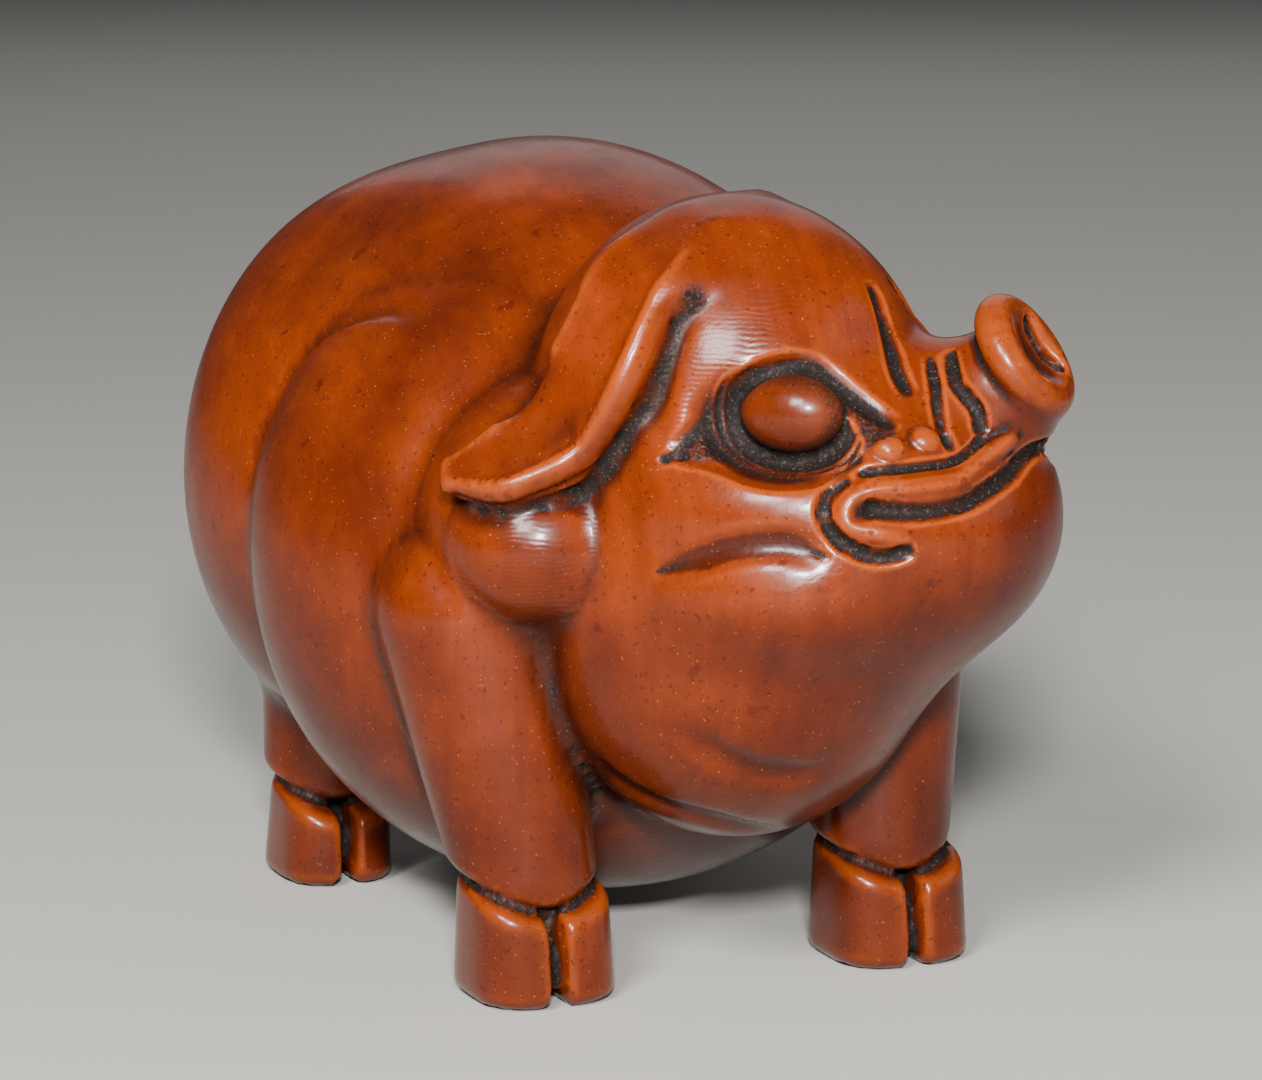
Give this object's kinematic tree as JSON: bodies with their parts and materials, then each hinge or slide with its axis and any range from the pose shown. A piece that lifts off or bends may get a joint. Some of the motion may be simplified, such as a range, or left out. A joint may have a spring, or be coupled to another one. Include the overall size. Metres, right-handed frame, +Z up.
{
  "type": "pig figurine",
  "caption": "Small carved boxwood pig standing on four cloven feet, round body, head raised and turned to its left, drooping ears and upturned snout.",
  "frame": {"origin": "middle of the figure's footprint box, at the height of the soles", "axes": "+Z up; the pig's body lies along Y and faces -Y; its left side is +X, and its head is turned 44 degrees towards +X"},
  "size_m": [0.0478, 0.0732, 0.0509],
  "materials": {
    "boxwood": "carved, stained red brown, wax polished, dark in the cuts"
  },
  "bodies": {
    "root": {"pig_carving": "boxwood"}
  },
  "joints": []
}
